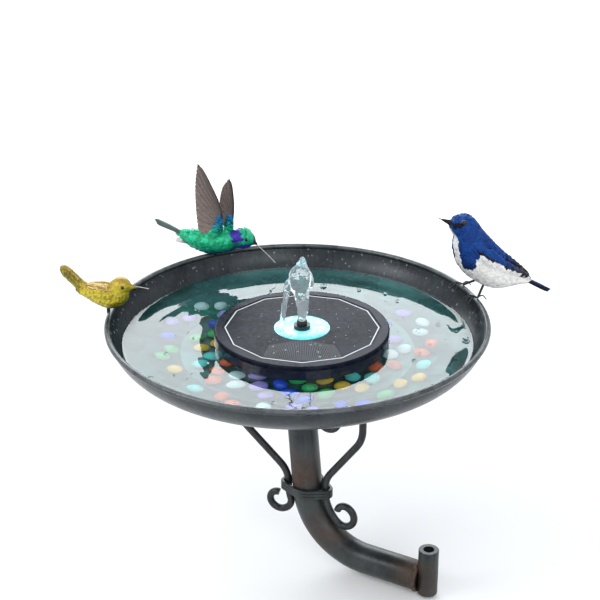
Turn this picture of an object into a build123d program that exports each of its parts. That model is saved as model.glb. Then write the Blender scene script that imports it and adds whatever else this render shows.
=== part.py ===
"""Bracket-hung iron bird bath with a solar fountain, glass nuggets and three perched bird figures.

Frame: origin at the lower mouth of the pivot sleeve's bore, +Z up. The arm runs from the sleeve
to the post under the dish. Lengths are millimetres and angles are degrees.
"""

import os
from math import atan2, ceil, cos, degrees, floor, radians, sin, sqrt, tan

from build123d import *

os.makedirs("parts", exist_ok=True)

# ---------------------------------------------------------------- driving dimensions
# pivot sleeve and arm
sleeve_r = 9.5
sleeve_height = 47.0
bore_r = 5.1
arm_azimuth = 150.0          # direction from the sleeve to the post
arm_height = 14.5            # arm centre line above the sleeve's foot
reach = 140.0                # sleeve axis to dish axis
tube_r = 14.2
tube_wall = 2.0
bend_r = 64.0
post_lean = 5.0
post_rise = 186.5            # arm centre line to the underside of the dish
cope_depth = 2.5
plug_thickness = 2.0
weld_r = 2.2

# dish
dish_depth = 50.0
dish_wall = 2.0
rim_r = 175.0
bead_r = 2.6
floor_r = 108.0
shoulder_r = 143.0
shoulder_drop = 33.5
belly_r = 161.0
belly_drop = 24.0

# scroll braces and their wire collar
rod_r = 3.5
collar_drop = 126.0          # underside of the dish to the middle of the collar
brace_top_r = 69.0           # dish axis to the outer strand of a brace
foot_gap = 1.5
top_loop = 46.0
tip_loop = 20.0
tip_drop = 53.0
knee_height = 72.0
knee_rise = 0.45
heel_height = 14.0
wire = 3.0
collar_turns = 3
collar_pitch = 3.1

# solar fountain, heights measured down from the rim
float_r = 80.0
float_shift = 4.0            # the float stands a little off the dish's centre
panel_drop = 10.0
panel_r = 72.5
panel_sides = 12
panel_thickness = 2.0
bezel_lip = 0.5
bezel_ledge = 4.0
bezel_thickness = 4.0
float_height = 16.0
float_wall = 2.0
boss_r = 28.0
boss_wall = 6.0
lens_r = 25.5
lens_dome = 1.0
board_r = 21.0
led_count = 6
led_size = 3.5
outlet_r = 6.0
outlet_wall = 2.0
nozzle_r = 7.5
nozzle_top_r = 4.75
nozzle_height = 7.5
nozzle_step = 3.0
pump_r = 21.0
pump_height = 16.0
pump_wall = 1.6
cover_thickness = 3.0
rotor_r = 11.0
shaft_r = 1.0
cup_r = 5.0
cup_circle_r = 14.0
cup_count = 4
screw_count = 6
screw_circle_r = 66.0
screw_r = 1.5
screw_head_r = 2.8

# glass nuggets
nugget_r = 7.5
nugget_half_height = 3.75
nugget_spread = 10.4
nugget_inner_r = 50.0
nugget_outer_r = 130.0

# clearances
fit = 0.3                    # between pieces that only rest together
running = 0.05               # radial, for pieces that turn or slide
press = 0.02                 # radial, for pieces pushed together and held

# ---------------------------------------------------------------- reference frame
dish_bottom = arm_height + post_rise
rim_z = dish_bottom + dish_depth
arm_dir = Vector(cos(radians(arm_azimuth)), sin(radians(arm_azimuth)), 0)
bath_x = reach * arm_dir.X
bath_y = reach * arm_dir.Y
bath_axis = Axis((bath_x, bath_y, 0), (0, 0, 1))
bath_section = Plane(origin=(bath_x, bath_y, rim_z), x_dir=(1, 0, 0), z_dir=(0, -1, 0))
arm_plane = Plane(origin=(0, 0, 0), x_dir=arm_dir, z_dir=arm_dir.cross(Vector(0, 0, 1)))

names = []


def save(builder, name):
    """Label a finished piece and write it as its own node."""
    builder.part.label = name
    export_step(builder.part, f"parts/{name}.step")
    names.append(name)


def post_centre(z):
    """Centre of the leaning post at height z."""
    s = reach - (dish_bottom - z) * tan(radians(post_lean))
    return Vector(s * arm_dir.X, s * arm_dir.Y, z)


def tube(plane, outer, inner, length):
    """Round tube that starts on a plane and runs along its normal."""
    with BuildPart() as piece:
        with BuildSketch(plane):
            Circle(outer)
            Circle(inner, mode=Mode.SUBTRACT)
        extrude(amount=length)
    return piece


# ---------------------------------------------------------------- pivot sleeve
with BuildPart() as pivot_sleeve:
    with BuildSketch(Plane.XY):
        Circle(sleeve_r)
        Circle(bore_r, mode=Mode.SUBTRACT)
    extrude(amount=sleeve_height)
    outer_edges = pivot_sleeve.edges().filter_by(GeomType.CIRCLE).sort_by(SortBy.RADIUS)[-2:]
    fillet(outer_edges, radius=0.8)
save(pivot_sleeve, "pivot_sleeve")

# ---------------------------------------------------------------- arm tube
# One length of tube: level at the sleeve, one bend, then the leaning post up to the dish.
corner_s = reach - (dish_bottom - arm_height) * tan(radians(post_lean))
over = 4.0
with BuildPart() as arm_tube:
    with BuildLine(arm_plane) as arm_line:
        FilletPolyline(
            (sleeve_r - cope_depth, arm_height),
            (corner_s, arm_height),
            (reach + over * tan(radians(post_lean)), dish_bottom + over),
            radius=bend_r,
        )
    with BuildSketch(Plane(origin=arm_line.line @ 0, z_dir=arm_line.line % 0)):
        Circle(tube_r)
        Circle(tube_r - tube_wall, mode=Mode.SUBTRACT)
    sweep(path=arm_line.line)
    with BuildSketch(Plane.XY.offset(-tube_r)):
        Circle(sleeve_r + running)
    extrude(amount=arm_height + 3 * tube_r, mode=Mode.SUBTRACT)
    split(bisect_by=Plane.XY.offset(dish_bottom), keep=Keep.BOTTOM)
save(arm_tube, "arm_tube")

# Steel disc that closes the arm's end beside the sleeve.
end_plane = Plane(origin=arm_plane.from_local_coords((sleeve_r + fit, arm_height, 0)), z_dir=arm_dir)
with BuildPart() as arm_end_plug:
    with BuildSketch(end_plane):
        Circle(tube_r - tube_wall - press)
    extrude(amount=plug_thickness)
save(arm_end_plug, "arm_end_plug")

# Weld run where the arm's end meets the sleeve.
with BuildPart() as sleeve_weld:
    with BuildLine(end_plane):
        CenterArc((0, 0), tube_r - weld_r / 2, 0, 360)
    with BuildSketch(Plane(origin=end_plane.from_local_coords((tube_r - weld_r / 2, 0, 0)),
                           z_dir=end_plane.y_dir)):
        Circle(weld_r)
    sweep()
    add(arm_tube.part, mode=Mode.SUBTRACT)
    add(pivot_sleeve.part, mode=Mode.SUBTRACT)
    add(arm_end_plug.part, mode=Mode.SUBTRACT)
    with BuildSketch(Plane.XY.offset(-sleeve_height)):
        Circle(sleeve_r)
    extrude(amount=3 * sleeve_height, mode=Mode.SUBTRACT)
    split(bisect_by=end_plane.offset(-cope_depth), keep=Keep.TOP)
save(sleeve_weld, "sleeve_weld")

# ---------------------------------------------------------------- dish
bead_centre_r = rim_r - bead_r
with BuildPart() as dish:
    with BuildSketch(bath_section):
        with BuildLine():
            Polyline((0, -bead_r), (0, -dish_depth), (floor_r, -dish_depth), (shoulder_r, -shoulder_drop))
            ThreePointArc((shoulder_r, -shoulder_drop), (belly_r, -belly_drop),
                          (bead_centre_r + dish_wall / 2, -bead_r))
            Line((bead_centre_r + dish_wall / 2, -bead_r), (0, -bead_r))
        make_face()
    revolve(axis=bath_axis)
    offset(amount=-dish_wall, openings=dish.faces().sort_by(Axis.Z)[-1])
    with BuildSketch(bath_section):
        with Locations((bead_centre_r, -bead_r)):
            Circle(bead_r)
    revolve(axis=bath_axis)
save(dish, "dish")

# Weld ring that joins the post to the underside of the dish.
post_top = post_centre(dish_bottom)
with BuildPart() as dish_weld:
    with BuildSketch(Plane(origin=post_top, x_dir=(1, 0, 0), z_dir=(0, -1, 0))):
        with Locations((tube_r, 0)):
            Circle(weld_r)
    revolve(axis=bath_axis)
    split(bisect_by=Plane.XY.offset(dish_bottom), keep=Keep.BOTTOM)
    add(arm_tube.part, mode=Mode.SUBTRACT)
    with BuildSketch(Plane(origin=post_centre(dish_bottom - 2 * weld_r),
                           z_dir=post_top - post_centre(dish_bottom - weld_r))):
        Circle(tube_r - tube_wall / 2)
    extrude(amount=3 * weld_r, mode=Mode.SUBTRACT)
save(dish_weld, "dish_weld")

# ---------------------------------------------------------------- scroll braces
# Each brace is one round rod: a curl at the foot, a straight bound to the post, a long diagonal,
# and an inward scroll under the dish that ends in a small loop.
collar_z = dish_bottom - collar_drop
collar_centre = post_centre(collar_z)
foot_r = tube_r + rod_r + foot_gap
collar_half = collar_turns * collar_pitch / 2

# name: foot azimuth, top azimuth, foot bend radius, foot bend angle, curl radius, inner curl radius
brace_front = (arm_azimuth - 180, arm_azimuth - 180, 41.0, 46, 11.0, 8.0)
brace_left = (163, 165, 60.0, -16, 10.5, 7.5)
brace_back = (75, 75, 60.0, -6, 10.5, 7.5)


def around(centre, radius, azimuth):
    """Point at a radius and azimuth from a centre, at the centre's height."""
    angle = radians(azimuth)
    return Vector(centre.X + radius * cos(angle), centre.Y + radius * sin(angle), centre.Z)


def scroll_brace(foot_azimuth, top_azimuth, heel_r, heel_angle, curl_r, inner_curl_r):
    """Bend one brace in the upright plane through its foot and its top."""
    foot = around(collar_centre, foot_r, foot_azimuth)
    top = around(Vector(bath_x, bath_y, collar_z), brace_top_r, top_azimuth)
    spread = (top - foot).length
    outward = (top - foot).normalized()
    plane = Plane(origin=foot, x_dir=outward, z_dir=outward.cross(Vector(0, 0, 1)))
    top_y = collar_drop - rod_r - fit
    loop_y = top_y - tip_drop
    knee_y = knee_height + knee_rise * (spread - (brace_top_r - foot_r))
    with BuildPart() as piece:
        with BuildLine(plane) as rod:
            upper = FilletPolyline(
                (spread - top_loop + tip_loop, loop_y + tip_loop * 0.9),
                (spread - top_loop + tip_loop, loop_y),
                (spread - top_loop, loop_y),
                (spread - top_loop, top_y),
                (spread, top_y),
                (spread, knee_y),
                (0, heel_height),
                (0, 1),
                radius=[0.49 * tip_loop, 0.49 * tip_loop, 0.49 * top_loop, 0.49 * top_loop, 32, 28],
            )
            heel = JernArc(upper @ 1, upper % 1, heel_r, heel_angle)
            curl = JernArc(heel @ 1, heel % 1, curl_r, 200)
            JernArc(curl @ 1, curl % 1, inner_curl_r, 100)
        with BuildSketch(Plane(origin=rod.line @ 0, z_dir=rod.line % 0)):
            Circle(rod_r)
        sweep(path=rod.line)
    return piece, foot


front_rod, front_foot = scroll_brace(*brace_front)
left_rod, left_foot = scroll_brace(*brace_left)
back_rod, back_foot = scroll_brace(*brace_back)
save(front_rod, "brace_front")
save(left_rod, "brace_left")
save(back_rod, "brace_back")

# Wire bound round the post and the three rods, turn on turn.
with BuildPart() as collar_wrap:
    for turn in range(collar_turns):
        turn_z = collar_z + (turn - (collar_turns - 1) / 2) * collar_pitch
        shift = post_centre(turn_z) - collar_centre
        with BuildSketch(Plane.XY.offset(turn_z - wire / 2)) as ring:
            with Locations((collar_centre.X + shift.X, collar_centre.Y + shift.Y)):
                Circle(tube_r + fit)
            for foot in (front_foot, left_foot, back_foot):
                with Locations((foot.X, foot.Y)):
                    Circle(rod_r + 2 * fit)
            make_hull()
            offset(amount=wire, kind=Kind.ARC)
            with Locations((collar_centre.X + shift.X, collar_centre.Y + shift.Y)):
                Circle(tube_r + fit, mode=Mode.SUBTRACT)
            with BuildSketch(mode=Mode.SUBTRACT):
                with Locations((collar_centre.X + shift.X, collar_centre.Y + shift.Y)):
                    Circle(tube_r + fit)
                for foot in (front_foot, left_foot, back_foot):
                    with Locations((foot.X, foot.Y)):
                        Circle(rod_r + 2 * fit)
                make_hull()
        extrude(amount=wire)
    chamfer(collar_wrap.edges().filter_by(Plane.XY), length=0.6)
save(collar_wrap, "collar_wrap")

# ---------------------------------------------------------------- solar fountain
# Heights are worked down from the panel's face.
pump_x = bath_x + float_shift
pump_axis = Axis((pump_x, bath_y, 0), (0, 0, 1))
pump_section = Plane(origin=(pump_x, bath_y, 0), x_dir=(1, 0, 0), z_dir=(0, -1, 0))
panel_top = rim_z - panel_drop
panel_bottom = panel_top - panel_thickness
float_top = panel_top + bezel_lip
base_top = float_top - bezel_thickness
base_bottom = base_top - float_height + bezel_thickness
seat_z = panel_bottom - fit
floor_z = dish_bottom + dish_wall
cover_top = base_bottom - press - pump_height
cover_bottom = cover_top - cover_thickness


def pump_plane(z):
    """Level plane at height z, centred on the fountain."""
    return Plane(origin=(pump_x, bath_y, z))


# Lower tub of the float, with a hollow boss that carries the lens and the panel's inner edge.
with BuildPart() as float_base:
    with BuildSketch(pump_plane(base_bottom)):
        Circle(float_r)
    extrude(amount=base_top - base_bottom)
    fillet(float_base.edges().sort_by(Axis.Z)[0], radius=4)
    with BuildSketch(pump_plane(base_bottom + float_wall)):
        Circle(float_r - float_wall)
    extrude(amount=base_top - base_bottom, mode=Mode.SUBTRACT)
    with BuildSketch(pump_plane(base_bottom + float_wall)):
        Circle(boss_r)
        Circle(boss_r - boss_wall, mode=Mode.SUBTRACT)
    extrude(amount=seat_z - base_bottom - float_wall)
    with BuildSketch(pump_plane(base_bottom)):
        Circle(outlet_r + running)
        with PolarLocations(screw_circle_r, screw_count):
            Circle(screw_r + fit)
    extrude(amount=float_wall, mode=Mode.SUBTRACT)
save(float_base, "float_base")

# Upper ring of the float, with a twelve-sided opening, a ledge under the panel and screw posts.
post_r = screw_r + float_wall
with BuildPart() as float_bezel:
    with BuildSketch(pump_plane(base_top)):
        Circle(float_r)
    extrude(amount=bezel_thickness)
    fillet(float_bezel.edges().sort_by(Axis.Z)[-1], radius=2)
    with BuildSketch(pump_plane(seat_z)):
        RegularPolygon(panel_r + fit, panel_sides)
    extrude(amount=float_height, mode=Mode.SUBTRACT)
    with BuildSketch(pump_plane(base_top)):
        RegularPolygon(panel_r - bezel_ledge, panel_sides)
    extrude(amount=float_height, mode=Mode.SUBTRACT)
    with BuildSketch(pump_plane(base_bottom + float_wall + fit)):
        with PolarLocations(screw_circle_r, screw_count):
            Circle(post_r)
    extrude(amount=seat_z - base_bottom - float_wall - fit)
    with BuildSketch(pump_plane(base_bottom + float_wall + fit)):
        with PolarLocations(screw_circle_r, screw_count):
            Circle(screw_r + press)
    extrude(amount=float_height / 2 - float_wall, mode=Mode.SUBTRACT)
save(float_bezel, "float_bezel")

# Screws driven up through the tub into the bezel's posts.
with BuildPart() as float_screws:
    with BuildSketch(pump_plane(base_bottom)):
        with PolarLocations(screw_circle_r, screw_count):
            Circle(screw_r)
    extrude(amount=float_height / 2 - 1)
    with BuildSketch(pump_plane(base_bottom)):
        with PolarLocations(screw_circle_r, screw_count):
            Circle(screw_head_r)
    extrude(amount=-1.2)
save(float_screws, "float_screws")

with BuildPart() as solar_panel:
    with BuildSketch(pump_plane(panel_bottom)):
        RegularPolygon(panel_r, panel_sides)
        Circle(lens_r + fit, mode=Mode.SUBTRACT)
    extrude(amount=panel_thickness)
save(solar_panel, "solar_panel")

# Clear ring over the lamps, slightly domed.
with BuildPart() as light_lens:
    with BuildSketch(pump_section):
        with BuildLine():
            Polyline((nozzle_r + fit, panel_top), (nozzle_r + fit, panel_bottom), (lens_r, panel_bottom),
                     (lens_r, panel_top))
            ThreePointArc((lens_r, panel_top), ((lens_r + nozzle_r) / 2, panel_top + lens_dome),
                          (nozzle_r + fit, panel_top))
        make_face()
    revolve(axis=pump_axis)
save(light_lens, "light_lens")

# Ring board and its lamps, seated inside the boss.
board_z = seat_z - led_size
light_board = tube(pump_plane(base_bottom + float_wall), board_r, nozzle_r + 1, board_z - base_bottom - float_wall)
save(light_board, "light_board")

with BuildPart() as lamps:
    with BuildSketch(pump_plane(board_z)):
        with PolarLocations((board_r + nozzle_r) / 2, led_count):
            Rectangle(led_size, led_size)
    extrude(amount=led_size - 1)
save(lamps, "lamps")

# Flat cell and charge board on the floor of the tub.
with BuildPart() as battery:
    with BuildSketch(Plane(origin=(pump_x - 47, bath_y, base_bottom + float_wall))):
        RectangleRounded(26, 42, 2)
    extrude(amount=6)
save(battery, "battery")

with BuildPart() as control_board:
    with BuildSketch(Plane(origin=(pump_x + 47, bath_y, base_bottom + float_wall))):
        Rectangle(24, 34)
    extrude(amount=1.6)
    with BuildSketch(Plane(origin=(pump_x + 47, bath_y, base_bottom + float_wall + 1.6))):
        with GridLocations(11, 12, 2, 2):
            Rectangle(6, 5)
    extrude(amount=2)
save(control_board, "control_board")

# Pump housing: a cup that hangs mouth down under the tub.
with BuildPart() as pump_housing:
    with BuildSketch(pump_plane(cover_top + press)):
        Circle(pump_r)
    extrude(amount=pump_height - press)
    with BuildSketch(pump_plane(cover_top + press)):
        Circle(pump_r - pump_wall)
    extrude(amount=pump_height - press - pump_wall, mode=Mode.SUBTRACT)
    with BuildSketch(pump_plane(cover_top)):
        Circle(outlet_r + press)
    extrude(amount=2 * pump_height, mode=Mode.SUBTRACT)
save(pump_housing, "pump_housing")

stator_bottom = cover_top + 5
stator = tube(pump_plane(stator_bottom), pump_r - pump_wall - press, rotor_r + 1,
              pump_height - pump_wall - 5 - 2 * fit)
save(stator, "stator")

# Outlet tube from the pump up to the nozzle, with a collar that hooks under the housing's top.
outlet_bottom = base_bottom - press - pump_wall - 1.2
outlet_top = panel_top + 3
with BuildPart() as outlet_tube:
    with BuildSketch(pump_plane(outlet_bottom)):
        Circle(outlet_r)
    extrude(amount=outlet_top - outlet_bottom)
    with BuildSketch(pump_plane(outlet_bottom)):
        Circle(outlet_r + 1.5)
    extrude(amount=1.2 - press)
    with BuildSketch(pump_plane(outlet_bottom)):
        Circle(outlet_r - outlet_wall)
    extrude(amount=outlet_top - outlet_bottom, mode=Mode.SUBTRACT)
save(outlet_tube, "outlet_tube")

# Stepped nozzle that pushes over the outlet tube.
nozzle_bottom = panel_top + fit
with BuildPart() as nozzle:
    with BuildSketch(pump_plane(nozzle_bottom)):
        Circle(nozzle_r)
    extrude(amount=nozzle_step)
    with BuildSketch(pump_plane(nozzle_bottom + nozzle_step)):
        Circle(nozzle_top_r)
    extrude(amount=nozzle_height - nozzle_step)
    fillet(nozzle.edges().group_by(Axis.Z)[-1], radius=0.8)
    with BuildSketch(pump_plane(nozzle_bottom)):
        Circle(outlet_r + running)
    extrude(amount=outlet_top + 0.2 - nozzle_bottom, mode=Mode.SUBTRACT)
    with BuildSketch(pump_plane(nozzle_bottom)):
        Circle(2.2)
    extrude(amount=nozzle_height - 1, mode=Mode.SUBTRACT)
    with BuildSketch(pump_plane(nozzle_bottom)):
        Circle(0.8)
        with PolarLocations(1.5, 6):
            Circle(0.4)
    extrude(amount=nozzle_height + 1, mode=Mode.SUBTRACT)
save(nozzle, "nozzle")

# Rotor: six blades on a magnet hub, turning on a fixed shaft.
shaft_bottom = cover_top - 1
shaft_top = outlet_bottom - 1.5
pump_shaft = tube(pump_plane(shaft_bottom), shaft_r, shaft_r / 4, shaft_top - shaft_bottom)
save(pump_shaft, "pump_shaft")

hub_r = 5.0
with BuildPart() as impeller:
    with BuildSketch(pump_plane(cover_top + 1)):
        Circle(hub_r)
    extrude(amount=shaft_top - 1 - cover_top - 1)
    with BuildSketch(pump_plane(cover_top + 1)):
        with PolarLocations((rotor_r + hub_r) / 2, 6):
            Rectangle(rotor_r - hub_r + 1, 1.2)
    extrude(amount=3.5)
    with BuildSketch(pump_plane(cover_top)):
        Circle(shaft_r + running)
    extrude(amount=pump_height, mode=Mode.SUBTRACT)
save(impeller, "impeller")

# Slotted intake cover with the shaft's seat, closing the pump from below.
with BuildPart() as intake_cover:
    with BuildSketch(pump_plane(cover_bottom)):
        Circle(pump_r)
        with PolarLocations(pump_r - 4.5, 16, start_angle=360 / 32):
            Rectangle(5, 1.6, mode=Mode.SUBTRACT)
    extrude(amount=cover_thickness)
    with BuildSketch(pump_plane(shaft_bottom)):
        Circle(shaft_r + press)
    extrude(amount=cover_thickness, mode=Mode.SUBTRACT)
save(intake_cover, "intake_cover")

# Rubber suction cups that stand on the floor of the dish.
with BuildPart() as suction_cups:
    with BuildSketch(pump_plane(floor_z)):
        with PolarLocations(cup_circle_r - cup_r, cup_count, start_angle=45):
            Circle(cup_r)
    extrude(amount=cover_bottom - floor_z, taper=18)
save(suction_cups, "suction_cups")

# ---------------------------------------------------------------- glass nuggets
# Flattened glass drops spread over the floor and the lower slope, none of them at the far side.
slope = degrees(atan2(dish_depth - shoulder_drop, shoulder_r - floor_r))
slope_foot_r = floor_r - dish_wall * tan(radians(slope / 2))
colours = ("blue", "green", "amber", "aqua", "red", "clear", "violet")
golden_angle = 180 * (3 - sqrt(5))
half = nugget_half_height

with BuildPart() as nugget:
    with BuildSketch(Plane.XY.offset(-half)):
        Circle(nugget_r)
    extrude(amount=2 * half)
    fillet(nugget.edges().sort_by(Axis.Z)[-1], radius=1.2 * half)
    fillet(nugget.edges().group_by(Axis.Z)[0], radius=0.6 * half)


def nugget_place(radius, azimuth):
    """Where one nugget rests, flat on the floor or leaning on the slope; None between the two."""
    if radius < slope_foot_r - nugget_r:
        lift, tilt = half + fit, 0
        rest_r = radius
    elif radius > slope_foot_r + nugget_r:
        along = radius - slope_foot_r
        lift = along * tan(radians(slope)) + (half + fit) * cos(radians(slope))
        rest_r = radius - (half + fit) * sin(radians(slope))
        tilt = slope
    else:
        return None
    turn = radians(azimuth)
    centre = (bath_x + rest_r * cos(turn), bath_y + rest_r * sin(turn), floor_z + lift)
    inward = Vector(-sin(radians(tilt)) * cos(turn), -sin(radians(tilt)) * sin(turn), cos(radians(tilt)))
    return Location(Plane(origin=centre, x_dir=(-sin(turn), cos(turn), 0), z_dir=inward))


nugget_places = {colour: [] for colour in colours}
first = ceil((nugget_inner_r / nugget_spread) ** 2)
last = floor((nugget_outer_r / nugget_spread) ** 2)
for step in range(first, last):
    azimuth = (step * golden_angle) % 360
    place = nugget_place(nugget_spread * sqrt(step), azimuth)
    if place is not None and not 35 < azimuth < 125:
        nugget_places[colours[step % len(colours)]].append(place)

for colour, places in nugget_places.items():
    with BuildPart() as nuggets:
        with Locations(*places):
            add(nugget.part)
    save(nuggets, f"nuggets_{colour}")

# ---------------------------------------------------------------- bird figures
# Cast and painted figures fixed to the rim. Each one is built in its own upright plane: x runs
# from the tail towards the beak, y is up, and the origin is where it meets the rim.


def perch(azimuth, heading):
    """Upright plane on top of the rim at an azimuth, facing along a heading."""
    origin = around(Vector(bath_x, bath_y, rim_z), bead_centre_r, azimuth)
    ahead = Vector(cos(radians(heading)), sin(radians(heading)), 0)
    return Plane(origin=origin, x_dir=ahead, z_dir=ahead.cross(Vector(0, 0, 1)))


def body_between(plane, tail, neck, radii, head, head_r):
    """Round body turned about the line from the tail root to the neck, with a round head."""
    start = plane.from_local_coords((*tail, 0))
    run = plane.from_local_coords((*neck, 0)) - start
    step = run.length / (len(radii) - 1)
    outline = [(radius, index * step) for index, radius in enumerate(radii)]
    with BuildPart() as piece:
        with BuildSketch(Plane(origin=start, x_dir=plane.z_dir, z_dir=plane.z_dir.cross(run))) as half:
            with BuildLine():
                Spline(*outline)
                Line(outline[-1], (0, run.length))
                Line((0, run.length), (0, 0))
                Line((0, 0), outline[0])
            make_face()
        revolve(axis=Axis(start, run))
        with Locations(plane.from_local_coords((*head, 0))):
            Sphere(head_r)
    return piece


def spike(plane, root, tip, root_r, tip_r):
    """Straight tapered bill, leg or pin between two points given in the bird's plane."""
    start = plane.from_local_coords(root)
    run = plane.from_local_coords(tip) - start
    with BuildPart() as piece:
        with BuildSketch(Plane(origin=start, z_dir=run)):
            Circle(root_r)
        with BuildSketch(Plane(origin=start + run, z_dir=run)):
            Circle(tip_r)
        loft()
    return piece


def blade(plane, points, thickness):
    """Flat feather shape on a plane, given its corners."""
    with BuildPart() as piece:
        with BuildSketch(plane):
            with BuildLine():
                Polyline(*points, close=True)
            make_face()
        extrude(amount=thickness / 2, both=True)
    return piece


def without(piece, *others):
    """Cut a piece back from the ones it meets, so that they meet face to face."""
    with BuildPart() as trimmed:
        add(piece.part)
        for other in others:
            add(other.part, mode=Mode.SUBTRACT)
    return trimmed


pin_depth = bead_r
# gold bird on a pin at the left of the rim
gold = perch(175, -6)
gold_body = body_between(gold, (-30, 33), (8, 13), (3, 9, 12, 12, 8), (10, 25), 10)
gold_pin = without(spike(gold, (-2, -pin_depth, 0), (-2, 12, 0), 1.6, 1.6), dish, gold_body)
gold_tail = without(blade(gold, [(-20, 34), (-24, 23), (-46, 41), (-44, 45)], 7), gold_body)
gold_bill = without(spike(gold, (14, 26, 0), (27, 26, 0), 4, 0.6), gold_body)
save(gold_body, "gold_bird_body")
save(gold_pin, "gold_bird_pin")
save(gold_tail, "gold_bird_tail")
save(gold_bill, "gold_bird_bill")

# hummingbird with raised wings at the back of the rim
hummer = perch(120, -4)
hummer_body = body_between(hummer, (-26, 19), (24, 13), (5, 9.5, 11, 11, 8), (32, 16), 9.5)
hummer_pin = without(spike(hummer, (4, -pin_depth, 0), (4, 12, 0), 1.6, 1.6), dish, hummer_body)
tail_root = hummer.from_local_coords((-20, 18, 0))
tail_run = hummer.from_local_coords((-54, 31, 0)) - tail_root
tail_plane = Plane(origin=tail_root, x_dir=tail_run, z_dir=tail_run.cross(hummer.z_dir))
hummer_tail = without(blade(tail_plane, [(0, -4), (0, 4), (36, 6), (36, -6)], 3), hummer_body)
near_wing = Plane(origin=hummer.from_local_coords((0, 18, 5)), x_dir=hummer.x_dir, z_dir=hummer.z_dir)
far_wing = Plane(origin=hummer.from_local_coords((0, 18, -5)), x_dir=hummer.x_dir, z_dir=hummer.z_dir)
hummer_wing_near = without(blade(near_wing, [(-12, -2), (14, -2), (8, 34), (-6, 76), (-14, 74)], 1.6), hummer_body)
hummer_wing_far = without(blade(far_wing, [(4, -2), (20, -2), (26, 30), (24, 58), (18, 58)], 1.6), hummer_body)
hummer_bill = without(spike(hummer, (38, 12, 0), (64, -9, 0), 1.4, 0.6), hummer_body, dish)
save(hummer_body, "hummingbird_body")
save(hummer_pin, "hummingbird_pin")
save(hummer_tail, "hummingbird_tail")
save(hummer_wing_near, "hummingbird_wing_near")
save(hummer_wing_far, "hummingbird_wing_far")
save(hummer_bill, "hummingbird_bill")

# blue flycatcher standing on two wire legs at the right of the rim
fly = perch(19, 180)
fly_body = body_between(fly, (-40, 14), (10, 66), (6, 14, 17, 15, 9), (11, 69.5), 11)
fly_tail = without(blade(fly, [(-34, 27), (-30, 16), (-74, 0), (-76, 4)], 14), fly_body)
fly_bill = without(spike(fly, (18, 73, 0), (28, 78, 0), 2.6, 0.6), fly_body)
near_foot = around(Vector(bath_x, bath_y, rim_z + fit), bead_centre_r, 13.5)
far_foot = around(Vector(bath_x, bath_y, rim_z + fit), bead_centre_r, 24.5)
with BuildPart() as fly_legs:
    for foot, side in ((near_foot, 6), (far_foot, -6)):
        hip = fly.from_local_coords((-18, 21, side))
        with BuildSketch(Plane(origin=hip, z_dir=foot - hip)):
            Circle(1.2)
        extrude(amount=(foot - hip).length - 1.2)
    add(fly_body.part, mode=Mode.SUBTRACT)
    add(dish.part, mode=Mode.SUBTRACT)
save(fly_body, "flycatcher_body")
save(fly_tail, "flycatcher_tail")
save(fly_bill, "flycatcher_bill")
save(fly_legs, "flycatcher_legs")

print(len(names), "nodes")
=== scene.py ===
import bisect
import math
import random

import bmesh
import bpy
from mathutils import Euler, Matrix, Vector
from mathutils.bvhtree import BVHTree
from mathutils.noise import noise as field


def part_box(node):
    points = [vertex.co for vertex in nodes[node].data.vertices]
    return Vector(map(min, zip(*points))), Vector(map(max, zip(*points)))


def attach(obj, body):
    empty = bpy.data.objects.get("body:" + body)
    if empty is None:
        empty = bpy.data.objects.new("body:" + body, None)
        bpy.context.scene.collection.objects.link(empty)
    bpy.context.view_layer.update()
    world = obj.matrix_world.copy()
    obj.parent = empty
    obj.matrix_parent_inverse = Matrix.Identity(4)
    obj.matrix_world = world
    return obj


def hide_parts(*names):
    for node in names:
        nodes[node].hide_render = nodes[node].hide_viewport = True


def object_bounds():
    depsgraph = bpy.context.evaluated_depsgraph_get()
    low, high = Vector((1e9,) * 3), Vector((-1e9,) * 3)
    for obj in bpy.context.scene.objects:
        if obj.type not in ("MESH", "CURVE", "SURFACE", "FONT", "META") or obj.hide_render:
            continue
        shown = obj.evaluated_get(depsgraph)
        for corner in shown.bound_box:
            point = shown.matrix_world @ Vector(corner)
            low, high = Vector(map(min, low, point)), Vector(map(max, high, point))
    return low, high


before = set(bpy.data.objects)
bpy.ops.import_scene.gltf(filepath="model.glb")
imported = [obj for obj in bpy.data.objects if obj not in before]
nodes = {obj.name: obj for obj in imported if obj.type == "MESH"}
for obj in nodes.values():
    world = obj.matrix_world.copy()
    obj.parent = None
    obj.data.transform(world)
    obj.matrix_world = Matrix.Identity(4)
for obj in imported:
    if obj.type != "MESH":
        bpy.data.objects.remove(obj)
cad_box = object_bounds()

# ---------------------------------------------------------------- ironwork
# Dish, arm, pivot sleeve and scroll rods are mild steel left to darken outdoors: a blue-grey skin
# with greenish clouds, rain streaks and brown rust that gathers near the welds.


def new_finish(name):
    """An empty finish, its shader and the object's own coordinates."""
    finish = bpy.data.materials.new(name)
    finish.use_nodes = True
    place = finish.node_tree.nodes.new("ShaderNodeTexCoord").outputs["Object"]
    return finish, finish.node_tree.nodes["Principled BSDF"], place


def put(value, socket):
    """Links a socket, or sets a plain number or colour on the socket itself."""
    if hasattr(value, "links"):
        socket.id_data.links.new(value, socket)
    elif socket.type == "RGBA" and len(value) == 3:
        socket.default_value = (*value, 1.0)
    else:
        socket.default_value = value


def dress(node, values):
    for name, value in values.items():
        put(value, node.inputs[name])


def added(near, kind, values, **settings):
    """A new node in the tree that holds the socket near."""
    node = near.id_data.nodes.new(kind)
    for name, value in settings.items():
        setattr(node, name, value)
    dress(node, values)
    return node


def stretched(place, scale):
    return added(place, "ShaderNodeMapping", {"Scale": scale, "Vector": place}).outputs["Vector"]


def height_of(place):
    return added(place, "ShaderNodeSeparateXYZ", {0: place}).outputs["Z"]


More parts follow.
